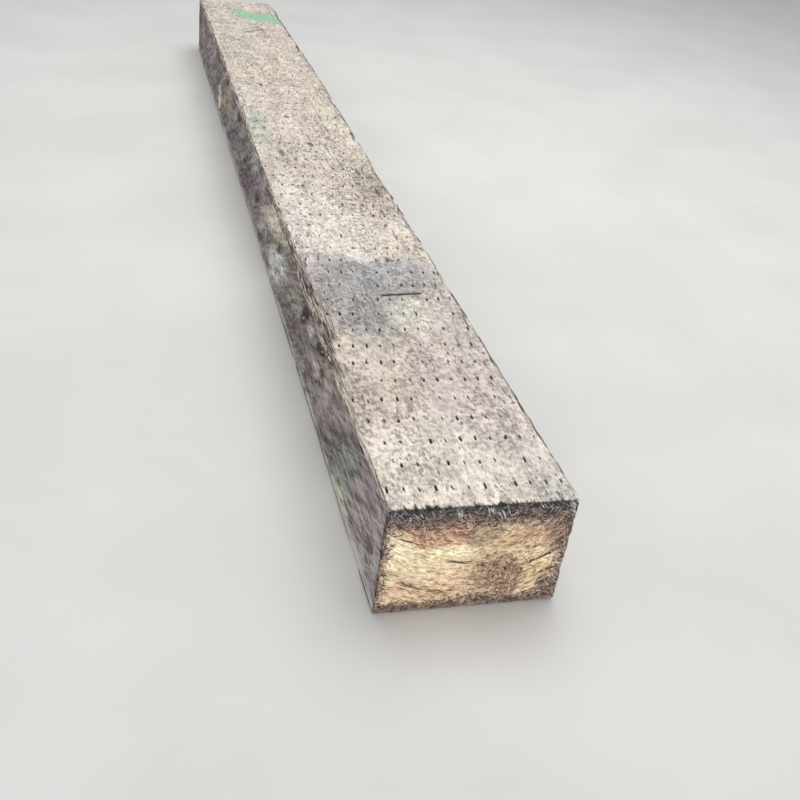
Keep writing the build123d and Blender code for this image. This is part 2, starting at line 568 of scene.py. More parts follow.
def near_relief(points):
    """How far each point of the saw cut is sunk, and its painted shade, which is none."""
    y, z = points.T
    from_heart = np.hypot(y - HEART_Y, HEIGHT + HEART_ABOVE_TOP - z)
    turn = np.arctan2(y - HEART_Y, HEIGHT + HEART_ABOVE_TOP - z) * RING_RADIUS
    rim = np.clip(1.25 - (HEIGHT - z) / 26, 0, 1)
    recess = 1.0 + 1.3 * noise(from_heart / 4.2, turn / 26, 411) ** 2
    recess += 0.9 * noise(from_heart / 2.6, turn / 9, 414)
    recess += rim * 3.2 * noise(y / 3.5, z / 5, 412) + 1.2 * rough(y / 25, z / 18, 413)
    return recess, np.zeros(len(points))


# Materials

def srgb(colour):
    """A colour given in 0 to 255, as Blender's linear colour."""
    parts = [c / 255 for c in colour]
    return (*(c / 12.92 if c <= 0.04045 else ((c + 0.055) / 1.055) ** 2.4 for c in parts), 1.0)


class Field:
    """What a node gives out at every place. A sum or product of fields adds its own node."""

    def __init__(self, shader, socket):
        self.shader = shader
        self.socket = socket

    def __add__(self, other):
        return self.shader.sum("ADD", self, other)

    def __sub__(self, other):
        return self.shader.sum("SUBTRACT", self, other)

    def __rsub__(self, other):
        return self.shader.sum("SUBTRACT", other, self)

    def __mul__(self, other):
        return self.shader.sum("MULTIPLY", self, other)

    def __abs__(self):
        return self.shader.sum("ABSOLUTE", self)

    __radd__ = __add__
    __rmul__ = __mul__


# How much light bare wood throws back at its surface
SPECULAR = 0.25
# The radius of a patch in the direction where it doesn't end
FAR = 1e6


class Shader:
    """One material in the making, with its colour so far. Most methods return a new field."""

    def __init__(self, name):
        self.colour = None
        self.material = bpy.data.materials.new(name)
        self.material.use_nodes = True
        self.tree = self.material.node_tree
        self.tree.nodes.clear()
        here = self.node("ShaderNodeTexCoord", {}, "Object")
        # The place in millimetres, with u from the newly sawn end
        scaled = self.vector("MULTIPLY", here, (1 / MM, 1 / MM, 1 / MM))
        self.place = self.vector("SUBTRACT", scaled, (START, 0, 0))
        split = self.node("ShaderNodeSeparateXYZ", {0: self.place}, 0).socket.node
        self.u, self.y, self.z = [Field(self, output) for output in split.outputs]

    def node(self, kind, inputs, output, **settings):
        """Adds a node with these inputs, by number or name, and returns one of its outputs."""
        made = self.tree.nodes.new(kind)
        for name, value in settings.items():
            setattr(made, name, value)
        for key, value in inputs.items():
            if isinstance(value, Field):
                self.tree.links.new(value.socket, made.inputs[key])
            else:
                made.inputs[key].default_value = value
        return Field(self, made.outputs[output])

    def vector(self, operation, a, b=(0, 0, 0)):
        output = "Value" if operation == "LENGTH" else "Vector"
        return self.node("ShaderNodeVectorMath", {0: a, 1: b}, output, operation=operation)

    def sum(self, operation, a, b=0.0):
        return self.node("ShaderNodeMath", {0: a, 1: b}, 0, operation=operation)

    def noise(self, size, seed, detail, roughness=0.55, distortion=0.0, where=None):
        """Noise from 0 to 1, with features of this size in millimetres along u, y and z."""
        shrunk = self.vector("MULTIPLY", where or self.place, tuple(1 / s for s in size))
        moved = self.vector("ADD", shrunk, (seed * 7.3, seed * 3.1, seed * 5.7))
        inputs = {"Vector": moved, "Scale": 1, "Detail": detail, "Roughness": roughness,
                  "Distortion": distortion}
        return self.node("ShaderNodeTexNoise", inputs, "Fac")

    def step(self, value, low, high, start=0.0, end=1.0):
        """start where value is under low, end where it is over high, smooth between."""
        inputs = dict(enumerate((value, low, high, start, end)))
        return self.node("ShaderNodeMapRange", inputs, 0, interpolation_type="SMOOTHSTEP")

    def mix(self, share, a, b):
        """From colour a to colour b as share goes from 0 to 1. Plain colours are 0 to 255."""
        a, b = (srgb(given) if isinstance(given, tuple) else given for given in (a, b))
        return self.node("ShaderNodeMix", {0: share, 6: a, 7: b}, 2, data_type="RGBA")

    def lay(self, share, tint):
        """Lays a colour over the one so far, fully where share is 1."""
        self.colour = self.mix(share, self.colour, tint)

    def shade(self, amount):
        """Multiplies the colour so far by a number."""
        inputs = {0: self.colour, 3: amount}
        self.colour = self.node("ShaderNodeVectorMath", inputs, 0, operation="SCALE")

    def point(self, x, y, z):
        return self.node("ShaderNodeCombineXYZ", {0: x, 1: y, 2: z}, 0)

    def attribute(self, name, output="Fac"):
        return self.node("ShaderNodeAttribute", {}, output, attribute_name=name)

    def along_grain(self, bend, lean=0.0):
        """The place, with the grain's slow bends and its slope along the timber taken out."""
        off = (self.noise((430, 95, 95), 90, 1) - 0.5) * bend
        return self.point(self.u, self.y + off, self.z + off - self.u * lean)

    def round_heart(self):
        """The place round the log's heart, how far from it, and how far round."""
        y = self.y - HEART_Y
        z = HEIGHT + HEART_ABOVE_TOP - self.z
        reach = self.vector("LENGTH", self.point(0, y, z))
        turn = self.sum("ARCTAN2", y, z) * RING_RADIUS
        return self.point(turn, reach, 0), reach, turn

    def patch(self, centre, radii, ragged, raggedness, soft=0.35, where=None):
        """1 inside an oval round centre, 0 outside, with an edge that ragged breaks up."""
        away = self.vector("SUBTRACT", where or self.place, centre)
        run = self.vector("LENGTH", self.vector("DIVIDE", away, radii))
        edge = 1 + raggedness / 2
        return self.step(run + ragged * raggedness, edge - soft, edge + soft, 1.0, 0.0)

    def top_patch(self, u, y, radii, *edge):
        """A patch of the upper face, as wide as radii along u and y."""
        return self.patch((u, y, HEIGHT), (*radii, FAR), *edge)

    def finish(self, roughness, height, bump_mm):
        """The principled shader, with its bump."""
        bump = self.node("ShaderNodeBump", {"Distance": bump_mm * MM, "Height": height}, "Normal")
        surface = self.node("ShaderNodeBsdfPrincipled", {
            "Base Color": self.colour, "Roughness": roughness, "Normal": bump,
            "Specular IOR Level": SPECULAR}, 0)
        output = self.tree.nodes.new("ShaderNodeOutputMaterial")
        self.tree.links.new(surface.socket, output.inputs[0])
        return self.material


# The darkest colour: painted shade inside slits, checks and torn notches
SLIT_SHADE = (40, 33, 29)

# Where the upper face is stained or bleached: u, y, how far each way, colour, strength
TOP_PATCHES = [
    (60, 0, (140, 150), (230, 220, 207), 0.8), (60, -95, (60, 26), (200, 196, 196), 0.5),
    (300, 60, (130, 60), (210, 192, 180), 0.4), (250, -60, (160, 70), (206, 192, 190), 0.5),
    (545, 45, (150, 72), (164, 163, 162), 0.85), (600, -30, (78, 76), (164, 163, 163), 0.65),
    (520, -95, (170, 32), (190, 182, 178), 0.6), (462, -18, (34, 28), (212, 213, 202), 0.5),
    (578, -92, (26, 10), (196, 200, 186), 0.7), (678, 8, (30, 24), (221, 217, 213), 0.85),
    (662, -42, (10, 8), (128, 100, 84), 0.7), (625, -50, (34, 46), (184, 180, 190), 0.3),
    (800, 34, (95, 60), (236, 230, 221), 0.7), (750, 100, (130, 26), (216, 200, 203), 0.6),
    (860, 50, (170, 66), (224, 215, 205), 0.8), (790, -20, (120, 35), (220, 211, 199), 0.7),
    (985, -88, (130, 26), (178, 166, 154), 0.7), (1120, 40, (120, 60), (210, 199, 186), 0.6),
    (1330, 96, (90, 24), (180, 188, 176), 0.65), (1430, 84, (80, 22), (190, 198, 188), 0.45),
    (1480, -85, (200, 26), (222, 214, 192), 0.5), (1660, -30, (260, 80), (212, 200, 186), 0.5),
    (2150, 60, (260, 50), (206, 196, 190), 0.6),
]
# Knots and dark spots: u, y, how far each way
TOP_SPOTS = [
    (1237, -7, (15, 9)), (1664, 44, (20, 5)), (1846, 45, (14, 6)), (2105, 50, (16, 6)),
    (1420, 18, (9, 10)), (810, -73, (9, 5)), (872, -80, (18, 5)), (968, -94, (36, 6)),
    (1012, -63, (16, 7)), (1078, -76, (26, 6)), (1176, 64, (26, 8)), (1920, -30, (18, 5)),
]
# The share of a spot's size that is dark
SPOT_CORE = 0.7
# Where the upper face is thick with specks: u, y, how far each way
TOP_SPECKLED = [(970, -80, (150, 38)), (1160, -30, (160, 60)), (820, -40, (120, 30))]
# Scores across the grain, painted only: a dark line for each shallow cut and the shade in it, with
# no groove in the mesh. u and y of the middle, half length, slant
TOP_SCORES = [(535, -33, 38, -0.10), (2223, -10, 35, -0.7)]
SCORE_HALF_WIDTH = 5.0
# Torn stretches beside the upper left arris: u, y, how far each way
TORN_MARGINS = [
    (470, 112, (90, 18)), (360, 120, (60, 9)), (700, 121, (120, 9)), (1000, 121, (160, 8)),
    (1500, 121, (220, 8)), (2100, 121, (300, 8)),
]
# The marking paint: a slanting stroke on the upper face. It reaches so far across, and fades
# out over an edge that the brush drew out along the grain
PAINT = dict(u=2396, y=-50, slant=0.38, half_width=52, reach=34, fade=14, brushed=150)

# How much of the streaks' slope the stains and the grain of a side have
STAIN_LEAN = 0.8
GRAIN_LEAN = 0.15
# Stains of the left side, and painted shade of holes: u, z, how far each way, colour, strength
SIDE_PATCHES = [
    (60, 60, 110, 90, (166, 151, 154), 0.7), (180, 100, 40, 26, (130, 137, 128), 0.6),
    (215, 60, 60, 40, (128, 134, 126), 0.6), (25, 56, 20, 14, (168, 175, 170), 0.6),
    (225, 12, 70, 20, (200, 202, 184), 0.8), (90, 12, 46, 16, (196, 198, 184), 0.7),
    (330, 136, 150, 16, (168, 154, 138), 0.4), (340, 100, 26, 20, (174, 160, 160), 0.6),
    # The near-black patches at u 408 and from u 503 to 552 are painted shade of holes near the
    # upper arris, which the mesh doesn't have
    (408, 134, 30, 11, (48, 39, 38), 0.9), (388, 106, 16, 10, (70, 58, 54), 0.8),
    (430, 88, 30, 16, (180, 162, 168), 0.85), (490, 119, 26, 9, (206, 195, 188), 0.8),
    (503, 147, 34, 10, (46, 37, 35), 0.9), (532, 127, 28, 11, (46, 37, 35), 0.9),
    (552, 107, 22, 9, (54, 44, 42), 0.8), (590, 52, 90, 24, (110, 96, 100), 0.6),
    (640, 100, 60, 30, (160, 154, 142), 0.6), (838, 62, 95, 34, (200, 202, 194), 0.85),
    (815, 136, 110, 20, (208, 196, 174), 0.85), (815, 110, 20, 12, (92, 76, 68), 0.8),
    (740, 36, 60, 20, (104, 96, 94), 0.6), (900, 130, 80, 26, (206, 198, 182), 0.8),
    (1010, 84, 60, 34, (176, 166, 156), 0.7), (960, 8, 50, 9, (66, 58, 56), 0.8),
    (1075, 16, 50, 10, (70, 62, 60), 0.7), (1125, 80, 30, 14, (62, 52, 50), 0.85),
    (1190, 128, 50, 24, (172, 180, 168), 0.7), (1320, 46, 150, 36, (100, 86, 92), 0.8),
    (1452, 142, 46, 13, (54, 46, 44), 0.9), (1590, 54, 110, 16, (84, 90, 100), 0.8),
    (1730, 145, 40, 12, (72, 60, 58), 0.75), (1740, 92, 130, 34, (158, 146, 122), 0.75),
    (1904, 54, 38, 30, (208, 202, 192), 0.95), (1938, 148, 40, 9, (70, 62, 58), 0.7),
    (2000, 58, 56, 24, (122, 120, 92), 0.8), (2150, 108, 120, 34, (158, 148, 152), 0.75),
    (2260, 104, 50, 13, (188, 178, 176), 0.6), (2490, 48, 100, 18, (152, 118, 104), 0.85),
    (2400, 10, 60, 9, (68, 58, 54), 0.8), (2520, 146, 80, 18, (112, 114, 92), 0.7),
]
RIGHT_PATCHES = [
    (700, 60, 200, 50, (168, 158, 144), 0.6), (1900, 110, 260, 40, (110, 102, 98), 0.6),
]

# Stains of the sawn end: y, z, how far each way, colour, strength
END_PATCHES = [
    (66, 86, 60, 25, (247, 238, 206), 0.95), (60, 62, 62, 18, (238, 216, 184), 0.7),
    (44, 115, 40, 16, (206, 172, 148), 0.7), (-8, 112, 26, 18, (164, 146, 122), 0.85),
    (-74, 104, 50, 22, (204, 172, 142), 0.7), (-36, 44, 34, 30, (166, 132, 106), 0.7),
    (-20, 74, 34, 12, (176, 144, 114), 0.6), (-110, 112, 24, 30, (142, 114, 106), 0.7),
    (-84, 50, 24, 18, (226, 200, 158), 0.8), (-110, 24, 20, 18, (128, 102, 92), 0.9),
    (96, 28, 26, 14, (226, 192, 168), 0.85), (40, 34, 60, 16, (224, 196, 166), 0.6),
]
# Dark arcs on the sawn end: distance from the heart, middle and half length round it, strength
END_ARCS = [
    (202, -97, 28, 1.0), (226, -92, 14, 0.9), (178, 13, 24, 0.8), (223, 62, 12, 0.9),
    (226, 29, 16, 0.8), (150, 108, 26, 0.7), (158, -90, 24, 0.5), (176, 70, 20, 0.4),
    (190, 40, 26, 0.3), (212, 88, 14, 0.5),
]
# How far the dark treated rim reaches in on the sawn end, and how ragged its edge is
TOP_RIM = 15
SIDE_RIM = 8
BOTTOM_RIM = 11
RIM_RAGGED = 44


def mottled(s, where, parts):
    """The weighted sum of several noises: size, seed, detail and weight of each."""
    return sum(s.noise(size, seed, detail, 0.65, 0.2, where) * weight
               for size, seed, detail, weight in parts)


def hair_cracks(s, where, seed, size, thickness, strength, tint):
    """Painted shade of fine cracks along the grain, which the mesh doesn't have, where a slower
    noise lets them open.
    """
    line = abs(s.noise(size, seed, 2, 0.5, 0.2, where) - 0.5)
    open_here = s.step(s.noise((150, 24, 24), seed + 1, 2), 0.48, 0.6)
    s.lay(s.step(line, 0, thickness, strength, 0) * open_here, tint)


def torn_strands(s, pale, dark):
    """The colours of split wood: pale and dark strands, paler near the newly sawn end."""
    strand = s.noise((44, 2.2, 2.2), 51, 3, 0.65)
    tone = s.noise((70, 14, 14), 54, 3)
    light = s.mix(s.step(tone, 0.4, 0.6), pale, (204, 188, 178))
    split = s.mix(s.step(strand, 0.38, 0.62), dark, light)
    bleached = s.mix(s.step(strand, 0.36, 0.56), (166, 152, 142), (230, 221, 208))
    return s.mix(s.step(s.u, 280, 380), bleached, split)


def arris_and_end(s, torn):
    """Torn fibres where an arris is worn, the saw's dark fringe, and painted shade, near black, in
    every hollow.
    """
    patchy = s.noise((70, 9, 9), 52, 2)
    worn = s.attribute("worn") * s.step(patchy, 0.34, 0.56, 0.45, 1)
    s.lay(worn, torn)
    spikes = s.noise((40, 2.9, 2.9), 53, 3, 0.7)
    clumps = s.noise((60, 17, 17), 55, 2)
    edge = s.u - s.step(spikes, 0.45, 0.75) * s.step(clumps, 0.38, 0.62, 3, 17)
    s.lay(s.step(edge, 0.5, 3.0, 0.92, 0), (64, 68, 66))
    hollow = s.step(s.attribute("hollow"), 0.0, 0.42)
    # The painted shade in the hollows of the far half is paler
    s.lay(hollow * s.step(s.u, 900, 1700, 1.0, 0.6), SLIT_SHADE)


def weathered_top():
    """The bleached upper face, with its stains, lichen, specks and paint mark."""
    s = Shader("weathered_top")
    grain = s.along_grain(26)
    ragged = s.noise((40, 20, 20), 3, 5, 0.7)
    broad = s.noise((230, 70, 70), 1, 3)
    cloud = s.noise((70, 19, 19), 5, 4, 0.62)
    warm = s.noise((80, 26, 26), 8, 3, 0.6)
    pink = s.noise((60, 30, 30), 6, 3, 0.6)
    green = s.noise((34, 18, 18), 9, 3, 0.6)
    s.colour = s.mix(s.step(broad, 0.36, 0.64), (226, 216, 203), (211, 196, 186))
    for value, low, high, start, end, tint in (
        (cloud, 0.5, 0.72, 0, 0.5, (176, 168, 161)), (warm, 0.54, 0.72, 0, 0.5, (208, 186, 166)),
        (pink, 0.5, 0.64, 0, 0.5, (214, 198, 197)), (pink, 0.38, 0.48, 0.5, 0, (222, 212, 188)),
        (green, 0.54, 0.66, 0, 0.5, (196, 204, 188)), (green, 0.34, 0.45, 0.5, 0, (226, 206, 198)),
        (s.u + broad * 500, 1500, 2000, 0, 0.6, (214, 202, 188)),
    ):
        s.lay(s.step(value, low, high, start, end), tint)
    for u, y, radii, tint, strength in TOP_PATCHES:
        s.lay(s.top_patch(u, y, radii, ragged, 1.3) * strength, tint)

    # Weathered grain: short dark dashes and pale strands
    tone = mottled(s, grain, [((11, 3, 3), 11, 2, 0.18), ((26, 5, 5), 12, 3, 0.13),
                              ((8, 7, 7), 13, 4, 0.45), ((20, 15, 15), 14, 3, 0.24)])
    mottling = s.noise((110, 60, 60), 16, 2)
    deepest = s.step(mottling, 0.42, 0.58, 0.46, 0.7)
    s.shade(s.step(tone, 0.41, 0.575, deepest, 1.18))
    blotch = s.noise((54, 32, 32), 25, 4, 0.6, 0.4, grain)
    s.shade(s.step(blotch, 0.38, 0.6, 0.87, 1.05))

    # Specks of torn fibre, mould and lichen, thick in places
    thick = s.noise((120, 45, 45), 15, 2, 0.5)
    for u, y, radii in TOP_SPECKLED:
        thick = thick + s.top_patch(u, y, radii, ragged, 0.9, 0.5) * 0.24
    over = s.noise((11, 3.6, 3.6), 17, 2, 0.5, 0.3, grain) - (0.77 - thick * 0.26)
    s.lay(s.step(over, 0, 0.05, 0, 0.72), (96, 83, 73))
    crust = s.noise((10, 6, 6), 18, 3, 0.6)
    crusted = s.step(crust - s.step(thick, 0.3, 0.8, 0.70, 0.58), 0, 0.06)
    s.lay(crusted * 0.55, (233, 228, 212))
    broken = s.noise((14, 7, 7), 26, 3, 0.7)
    for u, y, radii in TOP_SPOTS:
        core = [radius * SPOT_CORE for radius in radii]
        s.lay(s.top_patch(u, y, core, broken, 1.6) * 0.72, (80, 67, 57))

    hair_cracks(s, grain, 19, (120, 3.4, 3.4), 0.012, 0.6, (96, 84, 74))
    # Each score is painted shade of a shallow cut across the grain
    for u, y, half_length, slant in TOP_SCORES:
        across = s.y - y
        off = s.u + ragged * 5 - (u + 2.5) - across * slant
        ends = s.step(abs(across), half_length - 8, half_length, 1, 0)
        inside = s.step(abs(off), 0.5, SCORE_HALF_WIDTH + 1.5, 1, 0)
        s.lay(inside * ends, (54, 46, 40))

    # Marking paint near the far end, worn thin along the grain
    fade = PAINT["fade"]
    brushed = (s.noise((60, 16, 16), 27, 4, 0.7) - 0.5) * PAINT["brushed"]
    along = abs(s.u - PAINT["u"] - (s.y - PAINT["y"]) * PAINT["slant"]) + brushed
    band = s.step(along, PAINT["half_width"] - fade, PAINT["half_width"] + fade, 1, 0)
    reach = s.step(s.y + brushed, PAINT["reach"] - fade, PAINT["reach"] + fade, 1, 0)
    thin = s.step(s.noise((46, 5, 5), 24, 3, 0.6, 0.0, grain), 0.32, 0.54, 0.4, 0.97)
    s.lay(band * reach * thin, (146, 196, 160))

    # Split wood beside the upper left arris
    torn = torn_strands(s, (184, 171, 156), (82, 70, 67))
    for u, y, radii in TORN_MARGINS:
        s.lay(s.top_patch(u, y, radii, ragged, 1.2, 0.3) * 0.8, torn)
    arris_and_end(s, torn)
    height = tone - s.step(over, 0, 0.05) * 0.2 + crusted * 0.12
    return s.finish(s.step(cloud, 0.3, 0.7, 0.82, 0.95), height, 2.2)


def weathered_side(name, seed, tones, patches, lean, soil):
    """A side or the underside: dark, stained and streaked."""
    s = Shader(name)
    grain = s.along_grain(20, lean * GRAIN_LEAN)
    run = s.along_grain(30, lean)
    leaning = s.along_grain(0, lean * STAIN_LEAN)
    ragged = s.noise((80, 18, 18), seed + 3, 5, 0.68, 0.0, run)
    broad = s.noise((300, 42, 42), seed + 1, 3, 0.55, 0.0, run)
    s.colour = s.mix(s.step(broad, 0.38, 0.62), tones[0], tones[1])
    green = s.noise((190, 26, 26), seed + 5, 3, 0.6, 0.0, run)
    s.lay(s.step(green, 0.5, 0.68, 0, 0.8), tones[2])
    for u, z, across_u, across_z, tint, strength in patches:
        middle = (u, 0, z - u * lean * STAIN_LEAN)
        mask = s.patch(middle, (across_u, FAR, across_z), ragged, 1.4, 0.4, leaning)
        s.lay(mask * strength, tint)
    tone = mottled(s, grain, [((60, 2.4, 2.4), seed + 11, 2, 0.24),
                              ((110, 5, 5), seed + 12, 3, 0.20),
                              ((20, 9, 9), seed + 14, 4, 0.24)])
    tone = tone + s.noise((95, 11, 11), seed + 13, 3, 0.6, 0.3, run) * 0.34
    s.shade(s.step(tone, 0.41, 0.59, 0.36, 1.55))
    fleck = s.noise((40, 4.5, 4.5), seed + 15, 2, 0.5, 0.0, run)
    s.lay(s.step(fleck, 0.60, 0.72, 0, 0.7), (196, 188, 178))
    hair_cracks(s, grain, seed + 19, (260, 5, 5), 0.022, 0.9, (44, 38, 36))
    # Dried soil along the bottom
    low = s.step(s.z + ragged * 18, 17, 30, soil, 0)
    kept = s.step(s.noise((70, 20, 20), seed + 21, 4, 0.65), 0.4, 0.56, 0.1, 1)
    s.lay(low * kept, (200, 201, 186))
    arris_and_end(s, torn_strands(s, (222, 210, 195), (104, 90, 83)))
    return s.finish(s.step(broad, 0.3, 0.7, 0.8, 0.94), tone, 3.0)


def sawn_end():
    """The newly sawn end: cream wood, growth rings, stains and a dark treated rim."""
    s = Shader("sawn_end")
    polar, reach, turn = s.round_heart()
    ring = s.noise((60, 5.0, 1), 61, 3, 0.6, 0.4, polar)
    broad = s.noise((70, 15, 1), 62, 3, 0.5, 0.3, polar)
    strand = s.noise((11, 1.9, 1), 63, 3, 0.65, 0.5, polar)
    pitted = s.noise((6.5, 4.2, 1), 65, 4, 0.7, 0.3, polar)
    stained = s.noise((9, 6, 1), 67, 3, 0.7, 0.4, polar)
    ragged = s.noise((13, 13, 13), 64, 5, 0.72)
    s.colour = s.mix(s.step(broad, 0.38, 0.66), (241, 226, 194), (226, 198, 164))
    s.lay(s.step(ring, 0.44, 0.68, 0, 0.5), (190, 152, 116))
    for y, z, across_y, across_z, tint, strength in END_PATCHES:
        mask = s.patch((0, y, z), (FAR, across_y, across_z), ragged, 1.9, 0.3)
        s.lay(mask * strength, tint)

    mask = s.patch((0, -35, 42), (FAR, 40, 34), ragged, 1.5, 0.4)
    s.lay(mask * s.step(stained, 0.42, 0.6, 0, 0.8), (136, 104, 86))
    from_top = HEIGHT - s.z
    fuzz = s.noise((6, 6, 9), 66, 4, 0.7)
    brown = s.mix(s.step(pitted, 0.4, 0.6), (98, 81, 79), (178, 154, 141))
    s.lay(s.step(from_top - fuzz * 40, 4, 22, 0.92, 0), brown)

    tuft = s.noise((9, 3.4, 1), 69, 3, 0.6, 0.8, polar)
    tone = strand * 0.30 + pitted * 0.24 + ring * 0.20 + tuft * 0.26
    clean = s.patch((0, 58, 76), (FAR, 62, 38), ragged, 1.2, 0.5)
    s.shade(s.step(tone, 0.425, 0.56, 0.42 + clean * 0.3, 1.21))
    for radius, middle, half, strength in END_ARCS:
        off = abs(reach - radius) + ragged * 3.0
        window = s.step(abs(turn - middle), half * 0.5, half, strength, 0)
        s.lay(s.step(off, 2.2, 4.2, 1, 0) * window, (104, 82, 64))

    # The treated rim
    edge = s.noise((5, 4, 4), 68, 5, 0.75)
    shaggy = s.step(fuzz, 0.36, 0.62)
    rim = s.mix(shaggy, (52, 57, 58), (126, 116, 116))
    base = s.mix(shaggy, (80, 65, 64), (152, 130, 118))
    from_side = WIDTH / 2 - abs(s.y)
    for away, wide, tint in ((s.z, BOTTOM_RIM, base), (from_side, SIDE_RIM, base),
                             (from_top, TOP_RIM, rim)):
        off = away + (edge - 0.5) * RIM_RAGGED
        s.lay(s.step(off, wide - 4, wide + 4, 0.93, 0), tint)
    return s.finish(0.85, tone, 3.0)


def old_end():
    """The far end: an old sawn end, weathered dark, with its growth rings standing out."""
    s = Shader("old_end")
    polar, _, _ = s.round_heart()
    ring = s.noise((150, 3.6, 1), 71, 2, 0.5, 0.2, polar)
    cloud = s.noise((24, 24, 24), 72, 4, 0.6)
    rays = s.noise((2.2, 40, 1), 73, 2, 0.6, 0.2, polar)
    s.colour = s.mix(s.step(cloud, 0.35, 0.65), (112, 105, 98), (160, 150, 138))
    s.lay(s.step(ring, 0.4, 0.65, 0, 0.6), (74, 66, 60))
    s.shade(s.step(rays, 0.3, 0.7, 0.8, 1.12))
    # Painted shade, near black, inside the end's checks
    s.lay(s.step(s.attribute("hollow"), 0.05, 0.5), SLIT_SHADE)
    return s.finish(0.92, ring + rays * 0.5, 1.6)


def fibre_material():
    """Loose fibres: each has its own tint, with darker and paler stretches."""
    s = Shader("torn_fibre")
    tone = s.noise((5, 5, 5), 91, 2)
    s.colour = s.attribute("tint", "Color")
    s.shade(s.step(tone, 0.3, 0.7, 0.8, 1.15))
    return s.finish(0.9, tone, 0.2)


def floor_material():
    """The stage's floor: plain and pale, with faint clouds."""
    s = Shader("floor")
    cloud = s.noise((300, 300, 300), 81, 3, 0.5)
    s.colour = s.mix(s.step(cloud, 0.3, 0.7), (214, 213, 210), (220, 219, 216))
    return s.finish(0.7, cloud, 0.1)


# Loose fibres

def add_object(name, data):
    """A new object with this data, in the scene."""
    thing = bpy.data.objects.new(name, data)
    bpy.context.scene.collection.objects.link(thing)
    return thing


def between(value, lowest, highest):
    """The value, or the limit that it is past."""
    return min(max(value, lowest), highest)


def inside_box(point):
    """The nearest point of the timber's box."""
    return Vector((between(point.x, START, START + LENGTH),
                   between(point.y, -WIDTH / 2, WIDTH / 2), between(point.z, 0, HEIGHT)))


class Fibres:
    """Thin tapered fibres, gathered into one mesh. Places are in millimetres."""

    # Share of the length and of the width at each ring of three points, before the tip
    RINGS = ((0.0, 0.8), (0.45, 1.0), (0.8, 0.6))
    # A direction that few fibres run in, to turn their rings from
    SKEWED = Vector((0.31, 0.47, 0.83))

    def __init__(self):
        self.points = []
        self.faces = []
        self.tints = []

    def add(self, root, tip, bow, width, tint):
        """One fibre from root to tip, bowed at its middle."""
        run = tip - root
        side = run.cross(self.SKEWED).normalized()
        other = run.cross(side).normalized()
        first = len(self.points)
        for share, size in self.RINGS:
            middle = root + run * share + bow * (4 * share * (1 - share))
            for corner in range(3):
                angle = corner * math.tau / 3
                off = side * math.cos(angle) + other * math.sin(angle)
                self.points.append(inside_box(middle + off * (width / 2 * size)))
        last = len(self.points)
        self.points.append(inside_box(tip))
        self.faces.append((first + 2, first + 1, first))
        for start in range(first, last, 3):
            for corner in range(3):
                one, two = start + corner, start + (corner + 1) % 3
                ahead = (last,) if start + 3 == last else (two + 3, one + 3)
                self.faces.append((one, two, *ahead))
        self.tints += [tint] * (last + 1 - first)

    def make(self, name):
        """The piece in Blender, riding on the timber's body."""
        mesh = bpy.data.meshes.new(name)
        mesh.from_pydata([tuple(p * MM) for p in self.points], [], self.faces)
        data = mesh.attributes.new("tint", "FLOAT_COLOR", "POINT")
        data.data.foreach_set("color", [channel for tint in self.tints for channel in tint])
        mesh.materials.append(FIBRE)
        piece = add_object(name, mesh)
        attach(piece, "root")


# Colours of loose fibres
DARK_RIM = [(60, 66, 66), (84, 80, 82), (108, 98, 100), (50, 53, 55), (132, 124, 124),
            (164, 168, 168)]
BROWN_FUZZ = [(100, 82, 80), (136, 114, 106), (176, 152, 138), (210, 188, 170), (84, 70, 70)]
CLEAN = [(248, 239, 210), (243, 228, 196), (236, 215, 180), (220, 194, 160)]
CREAM = [(244, 228, 200), (234, 212, 182), (220, 190, 160), (186, 154, 128), (130, 106, 90)]
ORANGE = [(224, 184, 152), (238, 206, 178), (204, 162, 136), (150, 120, 104), (232, 200, 178)]
BOTTOM = [(86, 72, 70), (120, 100, 94), (150, 128, 112), (66, 56, 56)]
PALE = [(236, 230, 220), (214, 208, 202), (190, 192, 192)]
# Torn fibres on the saw cut: how many, y from and to, z from and to, length, how far the tip
# lifts, how far the direction strays from the growth rings in degrees, colours
END_FIBRES = [
    (1000, (-117, 118), (143, 157), (5, 13), (0.5, 4), 70, DARK_RIM),
    (850, (-114, 112), (127, 147), (5, 13), (0.5, 4), 45, BROWN_FUZZ),
    (420, (10, 80), (101, 128), (5, 13), (0.5, 3), 25, ORANGE),
    (460, (20, 106), (66, 98), (4, 12), (0.3, 2.0), 12, CLEAN),
    (330, (8, 106), (16, 62), (4, 13), (0.3, 2.5), 16, CREAM + CLEAN),
    (620, (-110, 4), (16, 124), (4, 12), (0.3, 2.5), 22, CREAM),
    (320, (-66, -4), (16, 76), (4, 10), (0.3, 2.5), 60, BROWN_FUZZ),
    (280, (110, 118), (8, 150), (3, 9), (0.5, 3), 60, BROWN_FUZZ + DARK_RIM),
    (450, (-118, -102), (8, 150), (4, 10), (0.5, 3), 60, BROWN_FUZZ),
    (330, (-116, 116), (3, 14), (4, 10), (0.5, 3), 40, BOTTOM),
]
# Pale tufts: how many, y, z, spread, direction in y and z, length
TUFTS = [
    (4, -104, 77, 5, (-1.0, -0.9), (6, 11)), (4, -105, 65, 5, (-1.0, -0.9), (6, 11)),
    (4, -106, 45, 5, (-1.0, -1.1), (6, 11)), (3, -105, 32, 5, (-1.0, -1.1), (6, 11)),
    (7, 108, 81, 4, (1.0, 0.35), (4, 9)), (8, 105, 27, 7, (1.0, -0.5), (4, 9)),
    (7, -22, 152, 14, (-0.8, -0.9), (9, 17)), (5, 27, 154, 3, (0.1, -1.0), (9, 15)),
    (5, -6, 155, 5, (-0.3, -1.0), (8, 15)), (16, -106, 142, 10, (-1.0, -0.2), (7, 13)),
    (13, 60, 155, 55, (-0.7, -1.0), (6, 13)), (16, -60, 155, 55, (-0.7, -1.0), (6, 13)),
]
TUFT_LIFT = 5
